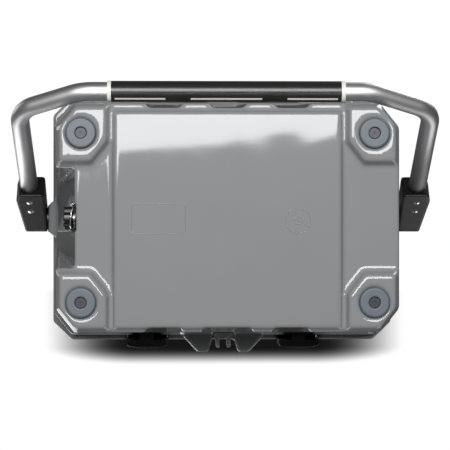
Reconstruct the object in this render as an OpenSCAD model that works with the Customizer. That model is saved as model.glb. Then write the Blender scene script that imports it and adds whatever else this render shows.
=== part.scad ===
// Hard-walled cooler with four screwed-on rubber feet, two press-and-pull
// latches, a hinged insulated lid, a screw-in drain plug and a tube bail handle
// that swings on two pivots high on its sides.
// +Z is up, the front with the latches faces -Y, the feet stand on z = 0.
// "right" is +X, as seen by someone who stands in front of the cooler.

/* [Tub] */
// Width over the corner pads at the bottom
base_w = 451; // [430:1:560]
// Depth over the corner pads at the bottom
base_d = 300; // [285:1:380]
// Height of the rim, where the lid begins
rim_z = 326; // [300:1:420]
// Outward lean of the four walls, in degrees
draft = 3.25; // [2:0.25:4]
// Width of the chamfer that cuts each corner, along X
corner_x = 25; // [16:1:34]
// Depth of the chamfer that cuts each corner, along Y
corner_y = 31; // [20:1:38]
// Thickness of the moulded skins
skin = 3.5; // [2.5:0.5:5]
// Thickness of a wall with its foam, at the rim
wall = 55; // [44:1:62]
// How far the rim flange stands out from the walls
flange_out = 4; // [2:0.5:5]
// Height of the rim flange
flange_h = 20; // [12:1:26]

/* [Cavity] */
// Height of the cavity floor above the ground
floor_z = 52; // [46:1:60]
// Inward lean of the cavity walls, in degrees
cavity_draft = 3.5; // [1:0.25:5]

/* [Underside] */
// Height of the pad faces above the ground
pad_z = 4; // [2:0.5:6]
// Height of the central panel above the ground
panel_z = 9; // [7:0.5:13]
// Height of the strips between the pads
strip_z = 18; // [15:0.5:22]
// Width of a corner pad at its root
pad_w = 73; // [62:1:76]
// Depth of a corner pad at its root
pad_d = 82; // [66:1:90]
// Slope that the sides of the pads run in by
pad_slope = 7; // [3:0.5:9]
// Distance from the central panel to each side of the base
panel_side = 77.5; // [76:0.5:110]
// Distance from the central panel to the front and back of the base
panel_end = 9.5; // [8:0.5:30]

/* [Feet] */
// Diameter of a foot
foot_dia = 40; // [30:1:46]
// Distance from the middle of a foot to the side of the base
foot_in_x = 34; // [31:0.5:38]
// Distance from the middle of a foot to the front or back of the base
foot_in_y = 39.5; // [37:0.5:43]
// How deep a foot sits in its pad
foot_seat = 5; // [3:0.5:7]
// Diameter of the foot screws
foot_screw_dia = 6; // [4:0.5:8]

/* [Flutes] */
// Distance between neighbouring flutes of the front and back
flute_pitch = 83.5; // [76:0.5:96]
// Width of a flute
flute_w = 50; // [40:1:56]
// Depth of a flute at the bottom
flute_depth = 6; // [3:0.5:8]

/* [Lid] */
// How far the lid stands out past the rim flange at the sides
lid_over_x = 3.65; // [1:0.05:8]
// How far the lid stands out past the rim flange at the front and back
lid_over_y = 8.15; // [6:0.05:12]
// Height of the lid
lid_h = 65; // [56:1:90]
// Gap between the lid and the rim
lid_gap = 2; // [1.5:0.5:4]
// Chamfer round the top of the lid
lid_bevel = 12; // [6:1:18]
// Depth of the recessed field on the lid
field_depth = 3; // [1:0.5:5]

/* [Hinge] */
// Diameter of the hinge rod
rod_dia = 6; // [5:0.5:8]
// Diameter of the hinge knuckles
knuckle_dia = 17; // [15:0.5:18]
// Distance from the ends of the hinge rod's channel to the sides of the lid
rod_in = 59.5; // [50:0.5:80]

/* [Latches] */
// Distance of each latch from the middle
latch_x = 111; // [100:1:130]
// Width of a latch
latch_w = 58; // [48:1:64]
// Height of a latch, from its pivot down
latch_len = 68; // [62:1:74]
// Diameter of the latch pins
latch_pin_dia = 4; // [3:0.5:5]
// Diameter of the steel keeper bars
keeper_dia = 5; // [4:0.5:6]
// How far the button travels
button_travel = 3; // [2:0.5:4]

/* [Lock hasp] */
// How far the hasp ears stand forward of the lid
ear_out = 15; // [13:0.5:24]
// How far the hasp ears reach down below the rim
ear_drop = 60; // [54:1:70]
// Diameter of the padlock hole
padlock_dia = 10; // [7:0.5:11]
// Thickness of the steel hasp plate
hasp_t = 2.5; // [2:0.5:3]

/* [Bail handle] */
// Outer diameter of the handle tube
tube_dia = 25.4; // [20:0.2:28]
// Wall thickness of the handle tube
tube_wall = 2; // [1.5:0.5:3]
// How far the pivots are below the rim
pivot_drop = 26; // [22:1:40]
// How far the pivot bosses stand out from the side walls
boss_out = 10.5; // [8:0.5:14]
// Distance from the pivots to the grip
bail_len = 272; // [268:1:330]
// Distance from a pivot hub to the middle of the arm at its far corner
arm_out = 26.5; // [24:0.5:40]
// Run of each sloping shoulder along X
shoulder_run = 87; // [75:1:105]
// Drop of the sloping shoulders
shoulder_drop = 38; // [28:1:44]
// Gap between the hanging grip and the back wall
bail_rest_gap = 2.3; // [2:0.1:12]
// Radius of the corner bends, to the middle of the tube
corner_bend = 35; // [30:1:48]
// Bare tube between the grip and the bend on each side of it
grip_margin = 40; // [30:1:60]
// Diameter of the grip
grip_dia = 28.4; // [27.4:0.2:34]

/* [Drain] */
// Height of the drain above the ground
drain_z = 66; // [64:1:72]
// Outer diameter of the drain bushing's tube
drain_tube_dia = 20; // [18:1:22]
// Diameter of the plug's knob
knob_dia = 32; // [28:1:34]

/* [Hidden] */
$fn = 64;

// Clearances
fit = 0.05;          // a shaft or pin in its bore, on the radius
seat_gap = 0.2;      // moulded pieces that are nested in each other
part_gap = 0.5;      // pieces that move past each other
over = 1;            // how far a cutting body runs past the face it cuts
reach = 60;          // how far a recess or a hole runs out through a wall

// Size of the tub's outline at a height
function tub_w(z) = base_w + 2 * (z - strip_z) * tan(draft);
function tub_d(z) = base_d + 2 * (z - strip_z) * tan(draft);

// Tub
flange_z = rim_z - flange_h;
flange_w = tub_w(flange_z) + 2 * flange_out;
flange_d = tub_d(flange_z) + 2 * flange_out;

// Cavity
cavity_w = tub_w(rim_z) - 2 * wall;
cavity_d = tub_d(rim_z) - 2 * wall;
cavity_corner = 24;
function cavity_in(z) = (rim_z - z) * tan(cavity_draft);
liner_flange_in = 6;
liner_flange_w = tub_w(rim_z) - 2 * (skin + liner_flange_in);
liner_flange_d = tub_d(rim_z) - 2 * (skin + liner_flange_in);

// Underside
panel_w = base_w - 2 * panel_side;
panel_d = base_d - 2 * panel_end;
foot_pitch_x = base_w - 2 * foot_in_x;
foot_pitch_y = base_d - 2 * foot_in_y;
panel_slope = 4;
panel_shift = -3;
foot_h = pad_z + foot_seat;
foot_recess_dia = foot_dia + 2.4;
foot_bore_dia = 15;
foot_web = 3;
foot_head_h = 3;
foot_socket = 4.4;
foot_boss_dia = 22;
foot_boss_z = strip_z + 18;
foot_hole_top = foot_boss_z - 4;
foot_screw_len = foot_hole_top - foot_h + foot_web;

// Flutes lean out more than the wall does, so that they fade out upwards
flute_draft = draft + 1.9;
flute_slope = 4;
front_flute_w = flute_w + 18;
flute_start = 40;
flute_len = 260;

// Side recess for the drain, and the notch that the plug sits in
recess_floor = base_w / 2 - 29;
recess_top_z = 230;
recess_half_low = 68;
recess_half_high = 43;
recess_top_floor = tub_w(recess_top_z) / 2 + 0.5;
notch_floor = recess_floor + 2;
notch_r = knob_dia / 2 + 3;
notch_back = notch_floor - skin;

// Pivot bosses
pivot_z = rim_z - pivot_drop;
boss_face = tub_w(pivot_z) / 2 + boss_out;
boss_half_low = 39;
boss_half_high = 20;
boss_root = tub_w(pivot_z) / 2 - 16;
boss_low_z = pivot_z - 46;
boss_ramp = 22;
hub_t = 3.5;
hub_dia = 39;
hub_face = boss_face + hub_t;

// Lid
lid_w = flange_w + 2 * lid_over_x;
lid_d = flange_d + 2 * lid_over_y;
lid_z = rim_z + lid_gap;
lid_top = lid_z + lid_h;
lip = 28;
plug_step = 10;
plug_gap = 3;
gasket_w = 9;
gasket_h = lid_gap - 0.3;
gasket_groove = 2;

// Hinge
rod_len = lid_w - 2 * rod_in;
hinge_y = lid_d / 2 - knuckle_dia / 2;
hinge_z = rim_z + 10;
back_bevel = 6;
channel_r = knuckle_dia / 2 + 5;
tub_knuckles = [[-rod_len / 2, 40], [-20, 40], [rod_len / 2 - 40, 40]];
lid_knuckles = [[-rod_len / 2 + 41, 38], [rod_len / 2 - 79, 38]];

// Latches
latch_pivot_y = -lid_d / 2 + 6.5;
latch_pivot_z = lid_z + 32;
barrel_r = 6;
latch_front = latch_pivot_y - 18;
latch_t = 14;
latch_back = latch_front + latch_t;
latch_crown = 5;
crown_r = (pow(latch_w / 2, 2) + pow(latch_crown, 2)) / 2 / latch_crown;
latch_low = latch_pivot_z - latch_len;
latch_recess_w = latch_w + 2;
latch_recess_back = latch_pivot_y + barrel_r + 1.5;
latch_recess_top = latch_pivot_z + 19.5;
latch_pin_len = latch_recess_w + 16;
keeper_y = -flange_d / 2 + 8;
keeper_z = latch_low + 12;
keeper_len = 50;
hook_w = 20;
hook_t = 7;
hook_top = keeper_z - keeper_dia / 2 - 0.8;
hook_end = keeper_y + 1;
pocket_w = 34;
pocket_back = keeper_y + keeper_dia / 2 + 3;
button_w = 26;
button_h = 15;
button_z = latch_low + 26;
button_t = 4;
button_sink = 0.6;
spring_wire = 0.6;
spring_r = 3;
spring_turns = 4;
// Behind the button there is room for its travel and for the closed spring
button_cavity = button_sink + button_t + button_travel + spring_turns * spring_wire;

// Hasp
ear_reach = lid_d / 2 + ear_out;
ear_root_out = 58;
ear_tip_out = 37;
ear_root_in = 15.5;
ear_tip_in = 21.5;
ear_shoulder = 23;
ear_low = rim_z - ear_drop;
ear_h = ear_drop - 3;
lid_ear_h = 24;
cheek_out = 10.8;
cheek_in = 5.4;
hasp_w = 28;
hasp_back = -flange_d / 2 + 5;
hasp_web = 5;
hasp_front = -ear_reach + 7;
hasp_low = ear_low + 3;
hasp_plate_back = -lid_d / 2 + lip - 2;
hasp_screw_dia = 4;
hasp_screw_x = 8;
hasp_screw_y = hasp_plate_back - 8;
padlock_y = -ear_reach + 15;
padlock_z = ear_low + 14;

// Bail
bail_w = 2 * (hub_face + arm_out);
grip_span = bail_w - 2 * shoulder_run;
grip_len = grip_span - 2 * grip_margin;
tube_r = tube_dia / 2;
arm_splay = 1.5;
arm_end = 28;
corner_u = bail_len - shoulder_drop;
arm_x = bail_w / 2 - (corner_u - arm_end) * tan(arm_splay);
shoulder_bend = 70;
collar_t = 5.2;
inlay_t = 0.8;
inlay_w = 3.2;
inlay_gap = 34;
inlay_mid = grip_len * 0.155;
inlay_end = 5;
inlay_place = 92;
collar_dia = grip_dia + 0.4;
// The handle hangs with its grip the gap away from the leaning back wall
back_wall_y = tub_d(pivot_z) / 2;
bail_lean = asin((back_wall_y * cos(draft) + grip_dia / 2 + bail_rest_gap) / bail_len) - draft;
bracket_in = hub_face + 0.3;
bracket_low_out = bracket_in + 31;
bracket_high_out = bail_w / 2 + tube_r + 1.6;
bracket_half = 18;
bracket_len = 74;
bracket_end_r = 19;
rivet_dia = 5;
rivet_head_dia = 9;
rivet_head_h = 1.8;
rivet_dome_r = 6.5;
rivet_u = [38.5, 58];
bolt_dia = 12;
bolt_head_dia = 19;
bolt_head_h = 6;
bolt_recess = 8;
bolt_socket = 8;
bolt_socket_depth = 3.3;
insert_dia = 20;
insert_len = 14;
bolt_start = boss_face - insert_len;
bolt_seat = bracket_low_out - bolt_recess + 0.3;

// Drain
drain_wall_in = cavity_w / 2 - cavity_in(drain_z);
nut_face = drain_wall_in - 14 * tan(cavity_draft) - 0.1;
nut_t = 5;
nut_dia = 27;
drain_inner_dia = drain_tube_dia - 8;
plug_shank_dia = drain_inner_dia - 2 * fit;
plug_neck_dia = 9.6;
bushing_flange_t = 2.5;
gasket_t = 1.5;
bushing_face = notch_floor + gasket_t + bushing_flange_t;
ring_t = 1.6;
ring_hole_dia = plug_neck_dia + 3;
knob_back = bushing_face + ring_t + 1;
knob_t = 12;
knob_lobes = 6;
knob_hollow_dia = 10;
seal_x = nut_face + 4;
seal_dia = 3;
tether_dia = 1.6;
anchor_dia = 5;
tether_start = [notch_floor + 6, notch_r - 1.2, 58];
anchor_shank_dia = 3;
anchor_shank = 2.8;
tether_points = [
    [0, -0.9, 0], [-0.2, -1.8, -3], [0, -3, -6.5], [0.6, -6, -9.4], [1.6, -11, -11.2],
    [2.6, -17, -11.6], [3.2, -23, -10.6], [3.4, -28, -8], [2.6, -31.6, -4], [-1.1, -32.6, 0],
    [-0.9, -30, 3.6], [-0.9, -26, 5.9]
];

// The whole cooler is moved along Y so that its box is centred on the origin
shift_y = (ear_reach - bail_len * sin(bail_lean) - collar_dia / 2) / 2;

// ---------------------------------------------------------------- helpers

module placed() translate([0, shift_y, 0]) children();

// Straight taper, in one step from the first outline to the scaled one
module taper(h, scale)
    linear_extrude(h, scale = scale, slices = 1, segments = 1, $fn = 0) children();

// Direction from one point of a route to the next, and angles between directions
function unit(v) = v / norm(v);
function turn(a, b) = atan2(a[0] * b[1] - a[1] * b[0], a[0] * b[0] + a[1] * b[1]);
function heading(v) = atan2(v[1], v[0]);

// Round bar along a list of points; normal is a direction that the route never takes
module bar(points, d, sides, normal) {
    last = len(points) - 1;
    rings = [
        for (i = [0:last], j = [0:sides - 1])
            let (t = unit(points[min(i + 1, last)] - points[max(i - 1, 0)]),
                 side = unit(cross(t, normal)), up = cross(side, t), a = j * 360 / sides)
            points[i] + d / 2 * (cos(a) * side + sin(a) * up)
    ];
    walls = [
        for (i = [0:last - 1], j = [0:sides - 1])
            let (a = i * sides + j, b = i * sides + (j + 1) % sides)
            [a, b, b + sides, a + sides]
    ];
    polyhedron(rings, concat(
        walls,
        [[for (j = [sides - 1:-1:0]) j]],
        [[for (j = [0:sides - 1]) last * sides + j]]
    ));
}

// Rectangle with its four corners cut off
module cut_rect(w, d, cx, cy) {
    polygon([
        [w / 2 - cx, -d / 2], [w / 2, -d / 2 + cy], [w / 2, d / 2 - cy], [w / 2 - cx, d / 2],
        [-w / 2 + cx, d / 2], [-w / 2, d / 2 - cy], [-w / 2, -d / 2 + cy], [-w / 2 + cx, -d / 2]
    ]);
}

// Rectangle with round corners
module round_rect(w, d, r) {
    square([w - 2 * r, d], center = true);
    square([w, d - 2 * r], center = true);
    for (sx = [-1, 1], sy = [-1, 1])
        translate([sx * (w / 2 - r), sy * (d / 2 - r)]) circle(r);
}

// Tub body between two heights, its walls moved in by inset
module tub_block(z0, z1, inset = 0) {
    w = tub_w(z0) - 2 * inset;
    d = tub_d(z0) - 2 * inset;
    translate([0, 0, z0])
        taper(z1 - z0, [(tub_w(z1) - 2 * inset) / w, (tub_d(z1) - 2 * inset) / d])
            cut_rect(w, d, corner_x, corner_y);
}

// Cavity of the liner between the floor and the rim, grown by a wall
module cavity_block(grow, z0, z1) {
    w = cavity_w - 2 * cavity_in(z1) + 2 * grow;
    d = cavity_d - 2 * cavity_in(z1) + 2 * grow;
    w0 = cavity_w - 2 * cavity_in(z0) + 2 * grow;
    d0 = cavity_d - 2 * cavity_in(z0) + 2 * grow;
    translate([0, 0, z0])
        taper(z1 - z0, [w / w0, d / d0])
            cut_rect(w0, d0, cavity_corner, cavity_corner);
}

// Corner pad of the (+X, +Y) corner, made smaller by inset for the hollow inside
module pad(inset = 0) {
    w = pad_w - 2 * inset;
    d = pad_d - 2 * inset;
    rise = over + inset;
    translate([base_w / 2 - pad_w / 2, base_d / 2 - pad_d / 2, strip_z + rise])
        mirror([0, 0, 1])
            taper(strip_z - pad_z - inset + rise, [1 - 2 * pad_slope / w, 1 - 2 * pad_slope / d])
                polygon([
                    [w / 2 - corner_x, d / 2], [w / 2, d / 2 - corner_y], [w / 2, -d / 2],
                    [-w / 2 + corner_x, -d / 2], [-w / 2, -d / 2 + corner_y], [-w / 2, d / 2]
                ]);
}

module all_pads(inset = 0)
    for (sx = [0, 1], sy = [0, 1])
        mirror([sx, 0, 0]) mirror([0, sy, 0]) pad(inset);

module panel(inset = 0) {
    w = panel_w + 2 * panel_slope - 2 * inset;
    d = panel_d + 2 * panel_slope - 2 * inset;
    rise = over + inset;
    translate([0, panel_shift, strip_z + rise])
        mirror([0, 0, 1])
            taper(strip_z - panel_z - inset + rise,
                  [1 - 2 * panel_slope / w, 1 - 2 * panel_slope / d])
                square([w, d], center = true);
}

module foot_places()
    for (sx = [-1, 1], sy = [-1, 1])
        translate([sx * foot_pitch_x / 2, sy * foot_pitch_y / 2, 0]) children();

// One vertical groove in the back wall, grown by a wall for the skin behind it
module flute(w, grow = 0) {
    half = w / 2 + grow;
    translate([0, base_d / 2 - flute_depth, strip_z])
        rotate([-flute_draft, 0, 0])
            translate([0, 0, -flute_start])
                linear_extrude(flute_len)
                    polygon([
                        [-half + flute_slope, -grow], [half - flute_slope, -grow],
                        [half + flute_slope, 2 * flute_depth], [-half - flute_slope, 2 * flute_depth]
                    ]);
}

module all_flutes(grow = 0) {
    for (i = [-1:1]) translate([i * flute_pitch, 0, 0]) flute(flute_w, grow);
    mirror([0, 1, 0])
        for (i = [-1:1])
            translate([i * flute_pitch, 0, 0]) flute(i == 0 ? front_flute_w : flute_w, grow);
}

// Sloping recess low in the right wall
module side_recess(grow = 0) {
    hull() {
        translate([recess_floor - grow, -recess_half_low - grow, -over])
            cube([reach, 2 * (recess_half_low + grow), over]);
        translate([recess_top_floor - grow, -recess_half_high - grow, recess_top_z + grow])
            cube([reach, 2 * (recess_half_high + grow), over]);
    }
}

// Notch in that recess, where the drain plug sits
module drain_notch(grow = 0) {
    r = notch_r + grow;
    translate([notch_floor - grow, 0, drain_z]) {
        rotate([0, 90, 0]) cylinder(r = r, h = reach);
        translate([0, -r, -drain_z - over]) cube([reach, 2 * r, drain_z + over]);
    }
}

// Raised boss that carries the handle pivot, on the right wall
module pivot_boss() {
    height = rim_z - 1 - boss_low_z;
    translate([boss_root, 0, boss_low_z + height / 2])
        rotate([90, 0, 90])
            taper(boss_face - boss_root,
                  [boss_half_high / boss_half_low, 1 - boss_ramp / height])
                square([2 * boss_half_low, height], center = true);
}

module foot_solid(g = 0)
    foot_places() {
        cylinder(d = foot_recess_dia + 2 * skin + 2 * g, h = pad_z + foot_seat + skin + g);
        cylinder(d = foot_boss_dia + 2 * g, h = foot_boss_z + g);
    }

// Solid places in the walls of the tub, where fittings go in
module tub_solid_places(g = 0) {
    for (s = [-1, 1])
        translate([s * latch_x - keeper_len / 2 - 4 - g, -tub_d(rim_z), latch_low - 10 - g])
            cube([keeper_len + 8 + 2 * g, tub_d(rim_z) + pocket_back + skin + g, rim_z]);
    translate([-hasp_w / 2 - 8 - g, -tub_d(rim_z), hasp_low - 6 - g])
        cube([hasp_w + 16 + 2 * g, tub_d(rim_z) + hasp_back + skin + g, rim_z]);
    for (s = [0, 1])
        mirror([s, 0, 0])
            translate([boss_face - insert_len - 10 - g, -insert_dia / 2 - 5 - g,
                       pivot_z - insert_dia / 2 - 5 - g])
                cube([reach, insert_dia + 10 + 2 * g, insert_dia + 10 + 2 * g]);
}

// The space inside the tub's skin, g further in
module tub_hollow(g = 0, top = rim_z + over) {
    difference() {
        union() {
            tub_block(strip_z + skin + g, top, skin + g);
            all_pads(skin + g);
            panel(skin + g);
        }
        all_flutes(skin + g);
        side_recess(skin + g);
        drain_notch(skin + g);
        foot_solid(g);
        tub_solid_places(g);
    }
}

// ---------------------------------------------------------------- tub

module ear(z, h)
    for (s = [0, 1])
        mirror([s, 0, 0])
            translate([0, 0, z])
                linear_extrude(h)
                    polygon([
                        [ear_root_in, hasp_back], [ear_root_in, -flange_d / 2 - 2],
                        [ear_tip_in, -ear_reach], [ear_tip_out, -ear_reach],
                        [ear_root_out, -ear_reach + ear_shoulder], [ear_root_out, hasp_back]
                    ]);

module knuckles(list, r)
    for (k = list)
        translate([k[0], hinge_y, hinge_z])
            rotate([0, 90, 0]) cylinder(r = r, h = k[1]);

module tub_knuckle_webs()
    for (k = tub_knuckles)
        translate([k[0], hinge_y - knuckle_dia / 2 + 0.5, flange_z + 4])
            cube([k[1], knuckle_dia - 1, hinge_z - flange_z - 4]);

module rod_bore(r)
    translate([-rod_len / 2 - over, hinge_y, hinge_z])
        rotate([0, 90, 0]) cylinder(r = r, h = rod_len + 2 * over);

module keeper_pocket()
    for (s = [-1, 1]) {
        translate([s * latch_x - pocket_w / 2, -flange_d, latch_low - 4])
            cube([pocket_w, flange_d + pocket_back, keeper_z - latch_low + 12]);
        translate([s * latch_x - keeper_len / 2, keeper_y, keeper_z])
            rotate([0, 90, 0]) cylinder(d = keeper_dia, h = keeper_len);
    }

module pivot_holes(d, x0, x1)
    for (s = [0, 1])
        mirror([s, 0, 0])
            translate([x0, 0, pivot_z]) rotate([0, 90, 0]) cylinder(d = d, h = x1 - x0);

module tub_shell() color([0.53, 0.54, 0.55]) difference() {
    union() {
        difference() {
            union() {
                tub_block(strip_z, rim_z);
                all_pads();
                panel();
                translate([0, 0, flange_z])
                    linear_extrude(flange_h) cut_rect(flange_w, flange_d, corner_x, corner_y);
            }
            all_flutes();
            side_recess();
        }
        for (s = [0, 1]) mirror([s, 0, 0]) pivot_boss();
        ear(ear_low, ear_h);
        knuckles(tub_knuckles, knuckle_dia / 2);
        tub_knuckle_webs();
    }
    tub_hollow();
    drain_notch();
    foot_places() {
        translate([0, 0, -over]) cylinder(d = foot_recess_dia, h = pad_z + foot_seat + over);
        cylinder(d = foot_screw_dia + 2 * fit, h = foot_hole_top);
    }
    translate([notch_back - over, 0, drain_z])
        rotate([0, 90, 0]) cylinder(d = drain_tube_dia + 2 * seat_gap, h = 2 * skin);
    translate(tether_start + [0, 1, 0])
        rotate([-90, 0, 0]) cylinder(d = anchor_shank_dia + 2 * fit, h = anchor_shank + 0.3);
    keeper_pocket();
    translate([-hasp_w / 2 - part_gap, -ear_reach - over, hasp_low - 2])
        cube([hasp_w + 2 * part_gap, ear_reach + over + hasp_back + part_gap, rim_z]);
    translate([-ear_root_out - over, padlock_y, padlock_z])
        rotate([0, 90, 0]) cylinder(d = padlock_dia, h = 2 * ear_root_out + 2 * over);
    rod_bore(rod_dia / 2 + fit);
    pivot_holes(insert_dia, boss_face - insert_len, boss_face + over);
    pivot_holes(bolt_dia + 1, boss_face - insert_len - 5, boss_face);
}

module tub_liner() color([0.86, 0.87, 0.87]) difference() {
    union() {
        cavity_block(skin, floor_z - skin, rim_z - skin);
        translate([0, 0, rim_z - skin])
            linear_extrude(skin)
                cut_rect(liner_flange_w, liner_flange_d, corner_x, corner_y);
    }
    cavity_block(0, floor_z, rim_z + over);
    translate([0, 0, drain_z])
        rotate([0, 90, 0]) cylinder(d = drain_tube_dia + 2 * seat_gap, h = notch_floor);
    tub_solid_places(seat_gap);
}

module tub_foam() color([0.93, 0.88, 0.72]) difference() {
    tub_hollow(seat_gap, rim_z - skin - seat_gap);
    cavity_block(skin + seat_gap, floor_z - skin - seat_gap, rim_z + over);
    translate([0, 0, drain_z])
        rotate([0, 90, 0]) cylinder(d = drain_tube_dia + 2 * seat_gap, h = notch_floor);
    translate([notch_back - 2, 0, drain_z])
        rotate([0, 90, 0]) cylinder(r = notch_r, h = 20);
}

// ---------------------------------------------------------------- lid

module lid_outline(inset, z0, z1) {
    bevel = max(lid_bevel - inset * 0.4, 1);
    w = lid_w - 2 * inset;
    d = lid_d - 2 * inset;
    translate([0, 0, z0])
        linear_extrude(z1 - z0 - bevel) cut_rect(w, d, corner_x + 2, corner_y - 5);
    translate([0, 0, z1 - bevel])
        taper(bevel, [(w - 2 * bevel) / w, (d - 2 * bevel) / d])
            cut_rect(w, d, corner_x + 2, corner_y - 5);
}

module hinge_channel(grow = 0) {
    half = rod_len / 2 + part_gap + grow;
    translate([-half, hinge_y, hinge_z]) {
        rotate([0, 90, 0]) cylinder(r = channel_r + grow, h = 2 * half);
        translate([0, 0, -channel_r - grow]) cube([2 * half, 40, channel_r + grow]);
    }
}

module latch_recess(grow = 0)
    for (s = [-1, 1])
        translate([s * latch_x - latch_recess_w / 2 - grow, -lid_d, lid_z - over])
            cube([latch_recess_w + 2 * grow, lid_d + latch_recess_back + grow,
                  latch_recess_top - lid_z + over + grow]);

// Solid places beside the latch recesses for the pins, and behind the hasp for its screws
module lid_solid_places(g = 0) {
    for (s = [-1, 1])
        translate([s * latch_x - latch_pin_len / 2 - 4 - g, -lid_d / 2, latch_pivot_z - 8 - g])
            cube([latch_pin_len + 8 + 2 * g, lip - 4 + g, 16 + 2 * g]);
    translate([-hasp_w / 2 - 4 - g, -lid_d / 2, lid_z])
        cube([hasp_w + 8 + 2 * g, lip + g, 18 + g]);
}

module lid_hollow(g = 0) difference() {
    lid_outline(skin + g, lid_z + skin + g, lid_top - skin - field_depth - g);
    hinge_channel(skin + g);
    latch_recess(skin + g);
    back_chamfer(skin + g);
    lid_solid_places(g);
}

module lid_opening(g = 0)
    translate([0, 0, lid_z - over])
        linear_extrude(skin + 2 * over)
            cut_rect(lid_w - 2 * lip - 2 * g, lid_d - 2 * lip - 2 * g, cavity_corner, cavity_corner);

module lid_knuckle_webs()
    for (k = lid_knuckles)
        translate([k[0], hinge_y, hinge_z]) intersection() {
            rotate([0, 90, 0]) cylinder(r = channel_r + 2, h = k[1]);
            translate([0, -channel_r - 2, 0]) cube([k[1], channel_r + 2, channel_r + 2]);
        }

// Chamfer under the lid's back edge, which swings down past the rim
module back_chamfer(grow = 0) {
    side = sqrt(2) * back_bevel + 2 * grow;
    translate([0, lid_d / 2, lid_z])
        rotate([45, 0, 0]) cube([2 * lid_w, side, side], center = true);
}

module lid_shell() color([0.53, 0.54, 0.55]) difference() {
    union() {
        difference() {
            union() {
                lid_outline(0, lid_z, lid_top);
                ear(lid_z, lid_ear_h);
            }
            lid_hollow();
            lid_opening();
            hinge_channel();
            latch_recess();
            back_chamfer();
            translate([0, 0, lid_top - field_depth])
                linear_extrude(field_depth + over)
                    round_rect(lid_w - 2 * lid_bevel - 44, lid_d - 2 * lid_bevel - 44, 20);
        }
        knuckles(lid_knuckles, knuckle_dia / 2);
        lid_knuckle_webs();
    }
    rod_bore(rod_dia / 2 + fit);
    for (s = [-1, 1])
        translate([s * latch_x - latch_pin_len / 2, latch_pivot_y, latch_pivot_z])
            rotate([0, 90, 0]) cylinder(d = latch_pin_dia + 2 * fit, h = latch_pin_len);
    translate([-hasp_w / 2 - fit, -ear_reach - over, lid_z - over])
        cube([hasp_w + 2 * fit, ear_reach + over + hasp_plate_back + fit, hasp_t + over]);
    translate([-ear_root_in - over, -ear_reach - over, lid_z - over])
        cube([2 * ear_root_in + 2 * over, ear_reach - lid_d / 2 + over, lid_ear_h + 2 * over]);
    for (s = [-1, 1])
        translate([s * hasp_screw_x, hasp_screw_y, lid_z])
            cylinder(d = hasp_screw_dia, h = 15);
}

module lid_liner() color([0.86, 0.87, 0.87]) difference() {
    union() {
        translate([0, 0, lid_z])
            linear_extrude(skin)
                cut_rect(lid_w - 2 * lip - 2 * seat_gap, lid_d - 2 * lip - 2 * seat_gap,
                         cavity_corner, cavity_corner);
        translate([0, 0, lid_z - plug_step])
            linear_extrude(plug_step + over)
                cut_rect(cavity_w - 2 * plug_gap, cavity_d - 2 * plug_gap,
                         cavity_corner, cavity_corner);
    }
    gasket_ring(0.1, 0.1);
    translate([0, 0, lid_z - plug_step + skin])
        linear_extrude(plug_step + skin)
            cut_rect(cavity_w - 2 * plug_gap - 2 * skin, cavity_d - 2 * plug_gap - 2 * skin,
                     cavity_corner, cavity_corner);
}

module lid_foam() color([0.93, 0.88, 0.72]) difference() {
    union() {
        difference() {
            lid_hollow(seat_gap);
            translate([0, 0, lid_z - over]) linear_extrude(skin + seat_gap + over)
                square([lid_w, lid_d], center = true);
        }
        translate([0, 0, lid_z - plug_step + skin + seat_gap])
            linear_extrude(plug_step + 2)
                cut_rect(cavity_w - 2 * (plug_gap + skin + seat_gap),
                         cavity_d - 2 * (plug_gap + skin + seat_gap),
                         cavity_corner, cavity_corner);
    }
}

module gasket_ring(g = 0, up = 0)
    translate([0, 0, lid_z - gasket_h])
        linear_extrude(gasket_h + gasket_groove + up)
            difference() {
                round_rect(cavity_w + 2 * (gasket_w + plug_gap) + 2 * g,
                           cavity_d + 2 * (gasket_w + plug_gap) + 2 * g, 30);
                round_rect(cavity_w + 2 * plug_gap - 2 * g, cavity_d + 2 * plug_gap - 2 * g, 24);
            }

module lid_gasket() color([0.12, 0.12, 0.13]) gasket_ring();

module hinge_rod() color("silver")
    translate([-rod_len / 2 + 2, hinge_y, hinge_z])
        rotate([0, 90, 0]) cylinder(d = rod_dia, h = rod_len - 4);

module hinge_end_caps() color([0.1, 0.1, 0.1])
    for (s = [0, 1])
        mirror([s, 0, 0])
            translate([rod_len / 2 - 1.9, hinge_y, hinge_z])
                rotate([0, 90, 0]) cylinder(d = rod_dia, h = 1.9);

// ---------------------------------------------------------------- feet

module foot(sx, sy) color([0.45, 0.49, 0.53])
    translate([sx * foot_pitch_x / 2, sy * foot_pitch_y / 2, 0])
        difference() {
            rotate_extrude()
                polygon([
                    [0, 0], [foot_dia / 2 - 1.5, 0], [foot_dia / 2, 1.5],
                    [foot_dia / 2, foot_h], [0, foot_h]
                ]);
            translate([0, 0, -over]) cylinder(d = foot_bore_dia, h = foot_h - foot_web + over);
            cylinder(d = foot_screw_dia + 2 * fit, h = foot_h + over);
        }

module foot_screws() color("silver")
    foot_places() difference() {
        union() {
            translate([0, 0, foot_h - foot_web - foot_head_h])
                cylinder(d = foot_bore_dia - 1.5, h = foot_head_h);
            translate([0, 0, foot_h - foot_web]) cylinder(d = foot_screw_dia, h = foot_screw_len);
        }
        translate([0, 0, foot_h - foot_web - foot_head_h - over])
            cylinder(d = foot_socket, h = 2 + over, $fn = 6);
    }

// ---------------------------------------------------------------- latches

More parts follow.
